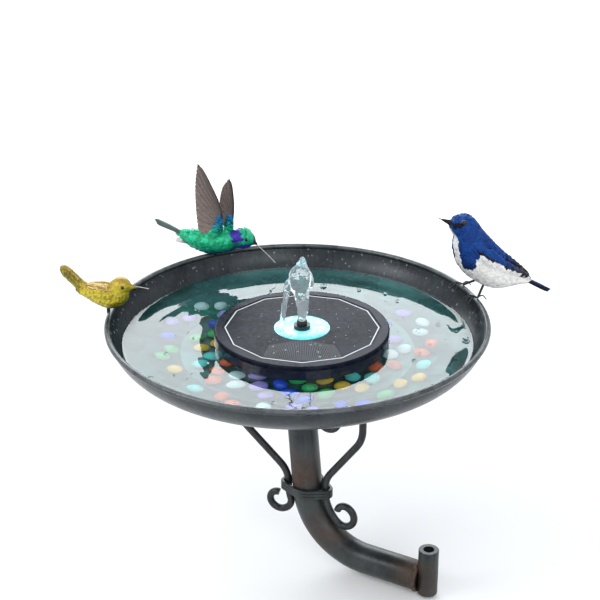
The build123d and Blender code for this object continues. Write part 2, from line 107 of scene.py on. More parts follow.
def cloud(place, scale, detail=4.0, roughness=0.55, distortion=0.0):
    values = {"Scale": scale, "Detail": detail, "Roughness": roughness, "Distortion": distortion, "Vector": place}
    return added(place, "ShaderNodeTexNoise", values).outputs["Fac"]


def spread(value, low, high, out_low=0.0, out_high=1.0):
    values = {"Value": value, "From Min": low, "From Max": high, "To Min": out_low, "To Max": out_high}
    return added(value, "ShaderNodeMapRange", values).outputs["Result"]


def blended(share, first, second):
    near = share if hasattr(share, "links") else first
    values = {"Factor": share, "A": first, "B": second}
    return added(near, "ShaderNodeMix", values, data_type="RGBA").outputs["Result"]


def sums(operation, first, second):
    return added(first, "ShaderNodeMath", {0: first, 1: second}, operation=operation).outputs[0]


def away_from(place, point):
    return added(place, "ShaderNodeVectorMath", {0: place, 1: point}, operation="DISTANCE").outputs["Value"]


def raised(shader, height, strength, distance):
    bump = added(height, "ShaderNodeBump", {"Strength": strength, "Distance": distance, "Height": height})
    put(bump.outputs["Normal"], shader.inputs["Normal"])


def middle(node):
    low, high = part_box(node)
    return (low + high) / 2


def iron_finish(name, rust_points, rust_reach, dark, pale, sheen, rim_highlight_from=None):
    """Blue-grey skin with greenish clouds, streaks and rust; the last height, when given, is where a painted highlight
    on the rim top begins.
    """
    finish, shader, place = new_finish(name)
    clouds = cloud(place, 28.0, 6.0, 0.6)
    tone = blended(spread(clouds, 0.38, 0.66), dark, pale)
    green = spread(cloud(place, 17.0, 3.0, 0.5, 0.4), 0.52, 0.7, 0.0, 0.55)
    tone = blended(green, tone, (0.035, 0.052, 0.05))
    streaks = cloud(stretched(place, (1.0, 1.0, 0.08)), 260.0, 3.0, 0.6)
    tone = blended(spread(streaks, 0.5, 0.72, 0.0, 0.3), tone, (0.08, 0.086, 0.09))
    patches = cloud(place, 60.0, 8.0, 0.68, 0.6)
    rust = spread(patches, 0.66, 0.74, 0.0, 0.7)
    for point in rust_points:
        near = spread(away_from(place, point), rust_reach * 0.25, rust_reach, 1.0, 0.0)
        rust = sums("MAXIMUM", rust, sums("MULTIPLY", near, spread(patches, 0.34, 0.58)))
    brown = blended(cloud(place, 420.0, 3.0), (0.03, 0.014, 0.008), (0.11, 0.055, 0.028))
    tone = blended(rust, tone, brown)
    if rim_highlight_from:
        upward = height_of(added(place, "ShaderNodeNewGeometry", {}).outputs["Normal"])
        level = height_of(place)
        wet_top = rim_highlight_from - 0.018
        wetted = sums("MULTIPLY", spread(upward, 0.05, 0.3), spread(level, wet_top - 0.002, wet_top, 0.9, 0.0))
        algae = blended(spread(clouds, 0.35, 0.65), (0.02, 0.075, 0.07), (0.06, 0.17, 0.16))
        tone = blended(wetted, tone, algae)
        # Painted highlight: above the given height the rim top is lightened in patches, standing in for light catching
        # the bead.
        rim_highlight = sums("MULTIPLY", spread(level, rim_highlight_from, rim_highlight_from + 0.003), spread(patches, 0.3, 0.55))
        tone = blended(rim_highlight, tone, (0.11, 0.12, 0.125))
    rough = sums("ADD", spread(clouds, 0.35, 0.7, sheen, sheen + 0.14), sums("MULTIPLY", rust, 0.35))
    dress(shader, {"Base Color": tone, "Roughness": rough, "Metallic": 0.35})
    grain = sums("ADD", cloud(place, 900.0, 3.0), sums("MULTIPLY", patches, 0.8))
    raised(shader, grain, 0.22, 0.0006)
    return finish


weld_spots = [middle("sleeve_weld"), middle("dish_weld")]
collar_patches = [middle("collar_wrap") + Vector(offset) for offset in ((-0.01, -0.01, 0.018), (0.02, -0.01, -0.04))]
rim_bead_height = 0.004
dish_finish = iron_finish("patinated_pan", weld_spots[1:], 0.05, (0.007, 0.01, 0.014), (0.022, 0.03, 0.036), 0.22,
                          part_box("dish")[1].z - rim_bead_height)
arm_finish = iron_finish("patinated_tube", weld_spots + collar_patches, 0.032, (0.016, 0.02, 0.021),
                         (0.05, 0.054, 0.056), 0.27)
rod_finish = iron_finish("patinated_rod", weld_spots[1:], 0.03, (0.012, 0.013, 0.015), (0.03, 0.032, 0.034), 0.27)


def give(finish, *names):
    for name in names:
        slots = nodes[name].material_slots
        for slot in slots:
            slot.material = finish
        if not slots:
            nodes[name].data.materials.append(finish)


give(dish_finish, "dish")
give(arm_finish, "arm_tube", "pivot_sleeve", "arm_end_plug")
give(rod_finish, "brace_front", "brace_left", "brace_back", "collar_wrap")

# ---------------------------------------------------------------- welds
# The fillet welds round the sleeve and under the dish are hand-laid: rippled beads with brown scale.

weld_finish, shader, place = new_finish("weld_scale")
scale_spots = cloud(place, 160.0, 6.0, 0.65)
tone = blended(spread(scale_spots, 0.35, 0.65), (0.02, 0.013, 0.01), (0.15, 0.085, 0.05))
dress(shader, {"Base Color": tone, "Metallic": 0.3, "Roughness": 0.62})
raised(shader, scale_spots, 0.7, 0.0015)
give(weld_finish, "sleeve_weld", "dish_weld")

# ---------------------------------------------------------------- wire collar
# Three turns of soft wire bind the rods to the post. The two cut ends are twisted together and
# bent flat against the front of the collar.

collar_low, collar_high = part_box("collar_wrap")
collar_middle = (collar_low + collar_high) / 2


def held(piece, body, slot=None, *stands_for):
    """Fixes a piece to its body and hides the CAD pieces it stands for; slot is not used."""
    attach(piece, body)
    if stands_for:
        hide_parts(*stands_for)
    return piece


def linked(name, data):
    piece = bpy.data.objects.new(name, data)
    bpy.context.scene.collection.objects.link(piece)
    return piece


def evaluated_mesh(piece):
    return bpy.data.meshes.new_from_object(piece.evaluated_get(bpy.context.evaluated_depsgraph_get()))


def placed(name, mesh, finish, smooth=True):
    mesh.materials.append(finish)
    for polygon in mesh.polygons:
        polygon.use_smooth = smooth
        polygon.material_index = 0
    return linked(name, mesh)


def curve_tube(name, points, thickness, finish, sides=10):
    line = bpy.data.curves.new(name, "CURVE")
    line.dimensions = "3D"
    line.bevel_depth = thickness / 2
    line.bevel_resolution = sides // 4
    line.use_fill_caps = True
    spline = line.splines.new("POLY")
    spline.points.add(len(points) - 1)
    for spot, point in zip(spline.points, points):
        spot.co = (*point, 1.0)
    drawn = linked(name + "_line", line)
    mesh = evaluated_mesh(drawn)
    bpy.data.objects.remove(drawn)
    mesh.materials.clear()
    return placed(name, mesh, finish)


twist_length = 0.011
twist_turns = 2.5
for number in range(2):
    strand = []
    for step in range(41):
        share = step / 40
        angle = 2 * math.pi * twist_turns * share + math.pi * number
        away = 0.0009 * (1 if share < 0.9 else 1.6)
        strand.append((
            collar_middle.x + 0.004 + (share - 0.5) * 0.5 * twist_length + away * math.cos(angle),
            collar_low.y + 0.0045 - 0.0022 + away * math.sin(angle),
            collar_high.z - 0.001 - share * twist_length * 0.8,
        ))
    held(curve_tube(f"wire_twist_{number + 1}", strand, 0.0016, rod_finish), "ironwork", "iron")

# ---------------------------------------------------------------- fountain float
# The float is a two-part moulding in glossy near-black blue plastic: a flat base and a bezel
# snapped over it. Splash marks dull it in spots. Screws and small fittings are under it.

float_finish, shader, place = new_finish("float_plastic")
film = cloud(place, 90.0, 5.0, 0.6)
tone = blended(spread(film, 0.4, 0.7), (0.006, 0.008, 0.02), (0.015, 0.02, 0.042))
dress(shader, {"Base Color": tone, "Roughness": spread(film, 0.45, 0.75, 0.06, 0.2), "Coat Weight": 0.3,
               "Coat Roughness": 0.04})
raised(shader, cloud(place, 500.0, 2.0), 0.05, 0.0002)
give(float_finish, "float_base")
bezel_finish, shader, place = new_finish("bezel_plastic")
film = cloud(place, 120.0, 5.0, 0.6)
tone = blended(spread(film, 0.4, 0.7), (0.006, 0.008, 0.018), (0.015, 0.018, 0.03))
dress(shader, {"Base Color": tone, "Roughness": spread(film, 0.4, 0.7, 0.22, 0.36), "Specular IOR Level": 0.12,
               "IOR": 1.3})
raised(shader, film, 0.08, 0.0003)
give(bezel_finish, "float_bezel")


def speckled(name, low, high, rough_low, rough_high, metallic=0.0, grain=900.0):
    made, shader, place = new_finish(name)
    specks = cloud(place, grain, 4.0)
    dress(shader, {"Base Color": blended(spread(specks, 0.35, 0.65), low, high),
                   "Roughness": spread(specks, 0.3, 0.7, rough_low, rough_high), "Metallic": metallic})
    raised(shader, specks, 0.15, 0.0003)
    return made


give(speckled("matte_black_plastic", (0.008, 0.008, 0.01), (0.02, 0.02, 0.023), 0.3, 0.5),
     "nozzle", "outlet_tube", "pump_housing", "intake_cover", "impeller")
give(speckled("cup_rubber", (0.02, 0.02, 0.02), (0.05, 0.05, 0.05), 0.5, 0.7), "suction_cups")
give(speckled("bright_steel", (0.4, 0.41, 0.42), (0.62, 0.63, 0.64), 0.25, 0.4, 1.0), "float_screws", "pump_shaft")
give(speckled("wound_copper", (0.45, 0.2, 0.08), (0.7, 0.36, 0.16), 0.3, 0.5, 1.0, 400.0), "stator")
give(speckled("cell_foil", (0.45, 0.46, 0.48), (0.7, 0.71, 0.73), 0.3, 0.45, 0.8), "battery")
give(speckled("circuit_board", (0.01, 0.08, 0.035), (0.03, 0.17, 0.07), 0.35, 0.5, 0.0, 300.0),
     "light_board", "control_board")

# ---------------------------------------------------------------- solar panel
# A twelve-sided glass-faced panel lies in the bezel. Its dark cells are crossed by hair-thin
# silver fingers and printed lines in a fan, and a white printed line runs round its edge.

panel_low, panel_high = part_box("solar_panel")
panel_middle = (panel_low + panel_high) / 2
panel_reach = (panel_high.x - panel_low.x) / 2
panel_finish, shader, place = new_finish("solar_cell")
dust = cloud(place, 240.0, 7.0, 0.7)
tone = blended(spread(cloud(place, 35.0, 3.0), 0.35, 0.65), (0.007, 0.009, 0.014), (0.018, 0.021, 0.03))
tone = blended(spread(dust, 0.64, 0.72, 0.0, 0.5), tone, (0.2, 0.21, 0.22))
dress(shader, {"Base Color": tone, "Roughness": spread(dust, 0.4, 0.7, 0.3, 0.5), "Specular IOR Level": 0.1,
               "IOR": 1.3})
give(panel_finish, "solar_panel")

print_line = speckled("printed_silver", (0.5, 0.52, 0.55), (0.72, 0.74, 0.77), 0.3, 0.45)
finger_line = speckled("finger_silver", (0.1, 0.105, 0.12), (0.18, 0.19, 0.21), 0.4, 0.5)


def on_circle(centre, angle, reach):
    return centre.x + reach * math.cos(angle), centre.y + reach * math.sin(angle)


def band(name, inner, outer, sides, low, high, finish, centre):
    mesh = bpy.data.meshes.new(name)
    points, faces = [], []
    for side in range(sides):
        angle = 2 * math.pi * side / sides
        for radius, height in ((inner, low), (outer, low), (outer, high), (inner, high)):
            points.append((*on_circle(centre, angle, radius), height))
    for side in range(sides):
        here, there = 4 * side, 4 * ((side + 1) % sides)
        for corner in range(4):
            nxt = (corner + 1) % 4
            faces.append((here + corner, there + corner, there + nxt, here + nxt))
    mesh.from_pydata(points, [], faces)
    outward(mesh)
    return placed(name, mesh, finish, False)


def outward(mesh):
    work = bmesh.new()
    work.from_mesh(mesh)
    bmesh.ops.remove_doubles(work, verts=work.verts, dist=1e-7)
    bmesh.ops.recalc_face_normals(work, faces=work.faces)
    work.to_mesh(mesh)
    work.free()


panel_sides = 12
held(band("panel_outline", panel_reach - 0.0028, panel_reach - 0.0018, panel_sides, panel_high.z,
          panel_high.z + 0.00012, print_line, panel_middle), "fountain", "solar_cell")


def set_out_tree():
    """Copies of one shape on points, each turned and stretched by what its own point carries."""
    tree = bpy.data.node_groups.new("set_out_on_points", "GeometryNodeTree")
    for name, kind in (("Geometry", "Geometry"), ("Shape", "Object"), ("Size", "Float"), ("Variation", "Float"),
                       ("Seed", "Int"), ("Finish", "Material")):
        tree.interface.new_socket(name, in_out="INPUT", socket_type="NodeSocket" + kind)
    tree.interface.new_socket("Geometry", in_out="OUTPUT", socket_type="NodeSocketGeometry")
    given = tree.nodes.new("NodeGroupInput").outputs
    size = given["Size"]
    shape = added(size, "GeometryNodeObjectInfo", {"Object": given["Shape"]}).outputs["Geometry"]
    low, high = (added(size, "ShaderNodeMath", {0: 1.0, 1: given["Variation"]}, operation=kind).outputs[0]
                 for kind in ("SUBTRACT", "ADD"))
    chance = added(size, "FunctionNodeRandomValue", {2: low, 3: high, "Seed": given["Seed"]}).outputs[1]
    stretch, turn = (added(size, "GeometryNodeInputNamedAttribute", {"Name": name}, data_type="FLOAT_VECTOR")
                     .outputs["Attribute"] for name in ("stretch", "turn"))
    whole = sums("MULTIPLY", size, chance)
    scaled = added(size, "ShaderNodeVectorMath", {0: stretch, "Scale": whole}, operation="SCALE").outputs["Vector"]
    turned = added(size, "FunctionNodeEulerToRotation", {0: turn}).outputs[0]
    copies = added(size, "GeometryNodeInstanceOnPoints", {"Points": given["Geometry"], "Instance": shape,
                                                          "Rotation": turned, "Scale": scaled}).outputs[0]
    real = added(size, "GeometryNodeRealizeInstances", {0: copies}).outputs[0]
    coat = added(size, "GeometryNodeSetMaterial", {"Geometry": real, "Material": given["Finish"]}).outputs[0]
    put(coat, tree.nodes.new("NodeGroupOutput").inputs[0])
    return tree


set_out_nodes = set_out_tree()


def set_out(name, shape, finish, points, turns, stretches, size=1.0, variation=0.0, seed=1, tints=None):
    """Copies of one shape on the given points, as one plain mesh."""
    mesh = bpy.data.meshes.new(name + "_points")
    mesh.from_pydata([tuple(point) for point in points], [], [])
    for label, values in (("turn", turns), ("stretch", stretches)):
        kept = mesh.attributes.new(label, "FLOAT_VECTOR", "POINT")
        kept.data.foreach_set("vector", [number for value in values for number in value])
    if tints:
        kept = mesh.attributes.new("tint", "FLOAT_COLOR", "POINT")
        kept.data.foreach_set("color", [number for tint in tints for number in (*tint, 1.0)])
    holder = linked(name + "_points", mesh)
    if shape.name not in bpy.context.scene.collection.objects:
        bpy.context.scene.collection.objects.link(shape)
    modifier = holder.modifiers.new("set_out", "NODES")
    modifier.node_group = set_out_nodes
    values = {"Shape": shape, "Size": size, "Variation": variation, "Seed": seed, "Finish": finish}
    for item in set_out_nodes.interface.items_tree:
        if item.in_out == "INPUT" and item.name in values:
            modifier[item.identifier] = values[item.name]
    bpy.context.view_layer.update()
    made = evaluated_mesh(holder)
    holder.modifiers.clear()
    bpy.data.objects.remove(holder)
    bpy.data.objects.remove(shape)
    return linked(name, made)


def mesh_from(work, name):
    mesh = bpy.data.meshes.new(name)
    work.to_mesh(mesh)
    work.free()
    return mesh


def unit_bar():
    work = bmesh.new()
    bmesh.ops.create_cube(work, size=1.0)
    return bpy.data.objects.new("bar", mesh_from(work, "bar"))


finger_pitch = 0.0015
fan_half_width = 0.03
fan_start, fan_end = 0.024, panel_reach - 0.006
fingers, lengths, finger_turns = [], [], []
half_count = int(fan_half_width / finger_pitch)
for number in range(-half_count, half_count + 1):
    across = number * finger_pitch
    lean = across * 8.0
    inner_end = fan_start + abs(across) * 0.35
    fingers.append((panel_middle.x + across + math.sin(lean) * 0.008, panel_middle.y - (inner_end + fan_end) / 2,
                    panel_high.z + 0.00003))
    finger_turns.append((0, 0, lean))
    lengths.append((0.00022, (fan_end - inner_end) * 0.94, 0.00006))
held(set_out("panel_fingers", unit_bar(), finger_line, fingers, finger_turns, lengths), "fountain", "solar_cell")

# ---------------------------------------------------------------- light lens and lamps
# A shallow clear dome in the middle of the panel spreads the turquoise light of six small lamps.

lens_middle = middle("light_lens")
lens_finish, shader, place = new_finish("lit_lens")
glow = blended(spread(away_from(place, lens_middle), 0.004, 0.026), (0.25, 0.95, 1.0), (0.03, 0.42, 0.55))
ripple = cloud(place, 130.0, 3.0, 0.6, 0.8)
# The ripple noise also mixes near-white patches into the glow: painted glints on the lens.
glow = blended(spread(ripple, 0.45, 0.65, 0.0, 0.6), glow, (0.7, 1.0, 1.0))
dress(shader, {"Base Color": blended(0.5, glow, (0.1, 0.5, 0.6)), "Emission Color": glow, "Emission Strength": 0.5,
               "Roughness": 0.12})
raised(shader, ripple, 0.25, 0.001)
give(lens_finish, "light_lens")
lamp_finish, shader, place = new_finish("lit_lamp")
glow = blended(cloud(place, 300.0), (0.5, 1.0, 1.0), (0.3, 0.9, 1.0))
dress(shader, {"Emission Color": glow, "Emission Strength": 3.0})
give(lamp_finish, "lamps")

# ---------------------------------------------------------------- glass nuggets
# Loose flat-backed glass beads in seven colours, each a melted drop that is never quite round.
# They lie on the floor of the dish and on the lower slope.

bead_colours = {"blue": (0.02, 0.1, 0.75), "green": (0.03, 0.5, 0.14), "amber": (0.95, 0.5, 0.03),
                "aqua": (0.15, 0.75, 0.72), "red": (0.95, 0.13, 0.03), "clear": (0.8, 0.88, 0.88),
                "violet": (0.45, 0.28, 0.75)}


def solids_of(node):
    """Corner lists of the separate solids in a CAD node, from a merged copy of its mesh."""
    work = bmesh.new()
    work.from_mesh(nodes[node].data)
    bmesh.ops.remove_doubles(work, verts=work.verts, dist=1e-6)
    work.verts.ensure_lookup_table()
    seen, groups = set(), []
    for start in work.verts:
        if start.index in seen:
            continue
        stack, group = [start], []
        seen.add(start.index)
        while stack:
            vert = stack.pop()
            group.append(vert.co.copy())
            for edge in vert.link_edges:
                other = edge.other_vert(vert)
                if other.index not in seen:
                    seen.add(other.index)
                    stack.append(other)
        groups.append(group)
    work.free()
    return groups


def lie_of(corners):
    """Centre of a flat round solid and the direction its flat face looks."""
    centre = sum(corners, Vector()) / len(corners)
    first = max(corners, key=lambda corner: (corner - centre).length) - centre
    best = max((first.cross(corner - centre) for corner in corners), key=lambda normal: normal.length).normalized()
    return centre, best if best.z > 0 else -best


def bead_shape():
    work = bmesh.new()
    bmesh.ops.create_uvsphere(work, u_segments=28, v_segments=16, radius=1.0)
    for vert in work.verts:
        angle = math.atan2(vert.co.y, vert.co.x)
        wobble = 1.0 + 0.05 * math.sin(2 * angle + 0.6) + 0.025 * math.sin(3 * angle)
        height = vert.co.z
        vert.co.x *= wobble
        vert.co.y *= wobble
        vert.co.z = height if height > 0 else -abs(height) ** 1.6 * 0.9
    return bpy.data.objects.new("bead", mesh_from(work, "bead"))


chance = random.Random(7)
for colour, tone in bead_colours.items():
    node = "nuggets_" + colour
    finish, shader, place = new_finish("glass_" + colour)
    swirl = cloud(place, 120.0, 3.0, 0.5, 1.5)
    pale = tuple(0.55 + 0.45 * part for part in tone)
    # Each bead also glows faintly in its own colour: painted light that keeps the beads bright under the water.
    dress(shader, {"Base Color": blended(spread(swirl, 0.5, 0.8, 0.0, 0.25), tone, pale), "Transmission Weight": 0.35,
                   "Roughness": 0.06, "IOR": 1.5, "Emission Color": tone, "Emission Strength": 0.06})
    raised(shader, cloud(place, 260.0), 0.08, 0.0008)
    spots, turns, sizes = [], [], []
    for corners in solids_of(node):
        centre, facing = lie_of(corners)
        reach = max((corner - centre).length for corner in corners)
        half = max(abs((corner - centre).dot(facing)) for corner in corners)
        quarter = facing.to_track_quat("Z", "Y") @ Euler((0, 0, chance.uniform(0, 6.28))).to_quaternion()
        spots.append(centre)
        turns.append(quarter.to_euler())
        sizes.append((reach * chance.uniform(0.92, 1.14), reach * chance.uniform(0.85, 1.05), half * 1.15))
    beads = set_out(node + "_glass", bead_shape(), finish, spots, turns, sizes, 1.0, 0.03, 5)
    for polygon in beads.data.polygons:
        polygon.use_smooth = True
    held(beads, "ironwork", "glass_" + colour, node)

# ---------------------------------------------------------------- water
# Clean water stands a finger's width below the rim. The jet keeps it moving, so low rings run
# outwards from the float, and it creeps a little way up the wall of the dish.

dish_low, dish_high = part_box("dish")
bath_centre = Vector(((dish_low.x + dish_high.x) / 2, (dish_low.y + dish_high.y) / 2, dish_high.z))
water_drop = 0.022
water_height = bath_centre.z - water_drop
dish_tree = BVHTree.FromPolygons([tuple(v.co) for v in nodes["dish"].data.vertices],
                                 [tuple(p.vertices) for p in nodes["dish"].data.polygons])
shore_hit = dish_tree.ray_cast(Vector((bath_centre.x, bath_centre.y, water_height)), Vector((1, 0, 0)))
shore = shore_hit[0].x - bath_centre.x
jet_middle = Vector((lens_middle.x, lens_middle.y, water_height))


def ripple_height(x, y):
    from_jet = math.hypot(x - jet_middle.x, y - jet_middle.y)
    from_middle = math.hypot(x - bath_centre.x, y - bath_centre.y)
    rings = 0.00003 * math.sin(from_jet * 560.0) * math.exp(-max(from_jet - 0.08, 0.0) * 9.0)
    swell = 0.00016 * field(Vector((x * 22.0, y * 22.0, 0.3)))
    swell += 0.00005 * field(Vector((x * 70.0, y * 70.0, 4.0)))
    creep = 0.0016 * math.exp(-(shore - from_middle) / 0.0022)
    return (rings + swell) * min(1.0, (shore - from_middle) / 0.006) + creep


water_mesh = bpy.data.meshes.new("water_surface")
points = [(bath_centre.x, bath_centre.y, water_height + ripple_height(bath_centre.x, bath_centre.y))]
faces = []
ring_count, spoke_count = 150, 288
for ring in range(1, ring_count + 1):
    share = ring / ring_count
    radius = (shore - 0.00015) * (share if share < 0.9 else 0.9 + 0.1 * (1 - ((1 - share) / 0.1) ** 1.6))
    for spoke in range(spoke_count):
        angle = 2 * math.pi * spoke / spoke_count
        x, y = on_circle(bath_centre, angle, radius)
        points.append((x, y, water_height + ripple_height(x, y)))
for spoke in range(spoke_count):
    nxt = (spoke + 1) % spoke_count
    faces.append((0, 1 + spoke, 1 + nxt))
    for ring in range(ring_count - 1):
        here, there = 1 + ring * spoke_count, 1 + (ring + 1) * spoke_count
        faces.append((here + spoke, there + spoke, there + nxt, here + nxt))
water_mesh.from_pydata(points, [], faces)


def clear_finish(name, tone, tone_two, roughness=0.0, ior=1.333, glow=None):
    """Clear water or glass that lets the lamps' light through to what is under it."""
    finish, shader, place = new_finish(name)
    drift = spread(cloud(place, 24.0, 4.0, 0.5, 0.6), 0.35, 0.65)
    dress(shader, {"Base Color": blended(drift, tone, tone_two), "Transmission Weight": 1.0, "Roughness": roughness,
                   "IOR": ior})
    # A given glow is painted light: a faint emission that makes the clear surface read brighter and whiter.
    if glow:
        dress(shader, {"Emission Color": glow, "Emission Strength": 0.1})
    shadow = added(place, "ShaderNodeLightPath", {}).outputs["Is Shadow Ray"]
    through = added(place, "ShaderNodeBsdfTransparent", {"Color": tone}).outputs[0]
    both = added(place, "ShaderNodeMixShader", {"Fac": shadow, 1: shader.outputs["BSDF"], 2: through})
    put(both.outputs[0], finish.node_tree.nodes["Material Output"].inputs["Surface"])
    return finish


water_finish = clear_finish("pool_water", (0.62, 0.9, 0.93), (0.72, 0.93, 0.96), 0.015, 1.5)
held(placed("water_surface", water_mesh, water_finish), "ironwork")

# ---------------------------------------------------------------- gold bird
# A small cast bird, hammered and painted yellow, with dark wash left in the hollows. It stands on
# a black iron pin at the left of the rim and looks over the water.

bead_radius = 0.0026
perch_reach = (dish_high.x - dish_low.x) / 2 - bead_radius


def level(angle):
    return Vector((math.cos(angle), math.sin(angle), 0))


def perch(azimuth, heading):
    """Matrix from a bird's own millimetres (x to the beak, y up, z to its side) to the frame."""
    angle, turn = math.radians(azimuth), math.radians(heading)
    spot = bath_centre + level(angle) * perch_reach
    ahead, up = level(turn), Vector((0, 0, 1))
    side = ahead.cross(up)
    return Matrix.Translation(spot) @ Matrix((ahead, up, side)).transposed().to_4x4() @ Matrix.Scale(0.001, 4)


def curve_through(stations, count):
    """Stations of any width, drawn out to count steps along a smooth line."""
    made = []
    last = len(stations) - 1
    for step in range(count):
        share = step / (count - 1) * last
        index = min(int(share), last - 1)
        part = share - index
        around = [stations[max(0, min(last, index + offset))] for offset in (-1, 0, 1, 2)]
        made.append(tuple(
            0.5 * (2 * b + (c - a) * part + (2 * a - 5 * b + 4 * c - d) * part ** 2
                   + (3 * b - a - 3 * c + d) * part ** 3)
            for a, b, c, d in zip(*around)))
    return made


def rounded_body(name, lines, voxel=0.9, smoothing=10):
    """One smooth skin over rows of stations (x, y, z, half height, half width)."""
    work = bmesh.new()
    for line in lines:
        for x, y, z, tall, wide in curve_through(line, max(2, len(line) * 3)):
            made = bmesh.ops.create_uvsphere(work, u_segments=16, v_segments=10, radius=1.0)
            for vert in made["verts"]:
                vert.co = Vector((x + vert.co.x * (tall + wide) / 2, y + vert.co.y * tall, z + vert.co.z * wide))
    lump = linked(name, mesh_from(work, name))
    skin = lump.modifiers.new("skin", "REMESH")
    skin.mode, skin.voxel_size = "VOXEL", voxel
    ease = lump.modifiers.new("ease", "SMOOTH")
    ease.factor, ease.iterations = 0.6, smoothing
    bpy.context.view_layer.update()
    made = evaluated_mesh(lump)
    bpy.data.objects.remove(lump)
    return made


def finished(name, mesh, place, finish, body, slot, *stands_for, tint=None, relief=None):
    """A skin in a bird's own millimetres, shaped by relief, coloured by tint and put in its place."""
    if relief:
        for vert, normal in zip(mesh.vertices, [v.normal.copy() for v in mesh.vertices]):
            vert.co += normal * relief(vert.co)
        mesh.update()
    if tint:
        kept = mesh.attributes.new("tint", "FLOAT_COLOR", "POINT")
        normals = [v.normal.copy() for v in mesh.vertices]
        kept.data.foreach_set("color", [number for vert, normal in zip(mesh.vertices, normals)
                                        for number in (*tint(vert.co, normal), 1.0)])
    mesh.transform(place)
    if place.determinant() < 0:
        mesh.flip_normals()
    outward(mesh)
    return held(placed(name, mesh, finish), body, slot, *stands_for)


def mixed(first, second, share):
    share = max(0.0, min(1.0, share))
    return tuple(a + (b - a) * share for a, b in zip(first, second))


def tinted_finish(name, roughness, metallic=0.0, grain=700.0, variation=0.35, depth=0.0004, gloss=0.5):
    """Paint whose colour comes from the tint painted on each point, dulled by fine specks."""
    finish, shader, place = new_finish(name)
    painted = added(place, "ShaderNodeAttribute", {}, attribute_name="tint").outputs["Color"]
    specks = cloud(place, grain, 5.0, 0.65)
    dress(shader, {"Base Color": blended(spread(specks, 0.3, 0.6, variation, 0.0), painted, (0.01, 0.012, 0.01)),
                   "Roughness": spread(specks, 0.3, 0.7, roughness * 1.3, roughness * 0.8),
                   "Metallic": metallic, "Specular IOR Level": gloss})
    raised(shader, specks, 0.5, depth)
    return finish


gold_place = perch(175, -6)
gold_finish = tinted_finish("hammered_gold_paint", 0.3, 0.5, 420.0, 0.35, 0.0014)
gold_skin = rounded_body("gold_bird", [
    [(-26, 21, 0, 5.2, 6), (-17, 18.8, 0, 7.6, 8.6), (-8, 16, 0, 9.8, 10.6), (0, 14, 0, 10.8, 11.4),
     (7, 15.5, 0, 10, 10.6), (10, 20, 0, 8.8, 9.2)],
    [(8, 23, 0, 9, 9), (11, 25, 0, 9.2, 8.8), (13.5, 25.2, 0, 7.4, 7)],
    [(16, 25, 0, 4.6, 4.2), (22, 24.6, 0, 2.2, 2.0), (27, 24.2, 0, 0.9, 0.9)],
    *([(-18, 21.5, 6 * side, 4, 2.8), (-8, 20, 8.8 * side, 5.5, 3), (2, 19, 8.8 * side, 5, 3)] for side in (1, -1)),
    [(-41, 40, 0, 3.6, 4.8), (-38, 36.5, 0, 4.8, 6), (-31, 29, 0, 5, 5.6), (-24, 22, 0, 5.6, 6)]], 0.8, 6)


def hammered(spot):
    dent = field(spot * 0.42) * 0.42 + field(spot * 0.95 + Vector((5, 1, 2))) * 0.3
    calm = 0.35 if spot.x > 0 and spot.y > 22 else 1.0
    return dent * calm


def gold_tint(spot, normal):
    crack = abs(field(spot * 0.36 + Vector((9, 3, 1)))) * 2.2
    # Painted shade by facing: the more a face looks up, the browner and darker it is made.
    tone = mixed((0.68, 0.56, 0.035), (0.42, 0.25, 0.05), max(0.0, normal.y) * 0.9)
    strength = 0.45 if spot.x > 2 and spot.y > 20 else 0.95
    tone = mixed(tone, (0.07, 0.065, 0.01), (1.0 - min(1.0, crack * 2.6 + 0.1)) * strength)
    if spot.x < -26:
        barbs = 0.8 * max(0.0, math.sin(spot.z * 1.9)) + max(0.0, abs(spot.z) - 4.2) * 0.5
        tone = mixed(tone, (0.07, 0.055, 0.012), barbs)
    # Painted shade: faces turned down darken to dark olive under the body.
    tone = mixed(tone, (0.1, 0.1, 0.012), max(0.0, -normal.y - 0.1) * 1.2)
    return mixed(tone, (0.05, 0.04, 0.01), (spot.x - 20) * 0.12)


finished("gold_bird", gold_skin, gold_place, gold_finish, "ironwork", "gold_paint", "gold_bird_body", "gold_bird_tail",
         "gold_bird_bill", tint=gold_tint, relief=hammered)


def ball(name, place, spot, radius, finish, slot, flat=1.0):
    work = bmesh.new()
    bmesh.ops.create_uvsphere(work, u_segments=24, v_segments=14, radius=radius)
    for vert in work.verts:
        vert.co = Vector((vert.co.x, vert.co.y, vert.co.z * flat)) + Vector(spot)
    mesh = mesh_from(work, name)
    mesh.transform(place)
    outward(mesh)
    return held(placed(name, mesh, finish), "ironwork", slot)


eye_finish = speckled("glass_eye", (0.006, 0.004, 0.003), (0.02, 0.012, 0.008), 0.1, 0.16)
ring_finish = speckled("eye_ring", (0.12, 0.07, 0.02), (0.2, 0.12, 0.04), 0.4, 0.5)
for side in (-1, 1):
    ball(f"gold_eye_ring_{side + 2}", gold_place, (13.5, 26.8, 7.3 * side), 2.2, ring_finish, "gold_paint", 0.5)
    ball(f"gold_eye_{side + 2}", gold_place, (13.7, 26.8, 7.8 * side), 1.4, eye_finish, "gold_paint", 0.7)
pin_finish = speckled("black_pin", (0.01, 0.01, 0.011), (0.04, 0.04, 0.042), 0.35, 0.5, 0.5)
give(pin_finish, "gold_bird_pin", "hummingbird_pin", "flycatcher_legs")
needle_finish = speckled("pale_needle", (0.35, 0.34, 0.3), (0.6, 0.58, 0.52), 0.3, 0.4)
needle_line = [gold_place @ Vector((24 + 1.6 * step, 25.6 - 0.25 * step, 0)) for step in range(9)]
held(curve_tube("gold_bird_needle", needle_line, 0.0008, needle_finish), "ironwork", "gold_paint")

# ---------------------------------------------------------------- hummingbird
# A hummingbird hovering at the back of the rim, cast and covered with small iridescent scales from
# emerald to blue. Its raised wings and its tail are fans of long brown-grey feathers.

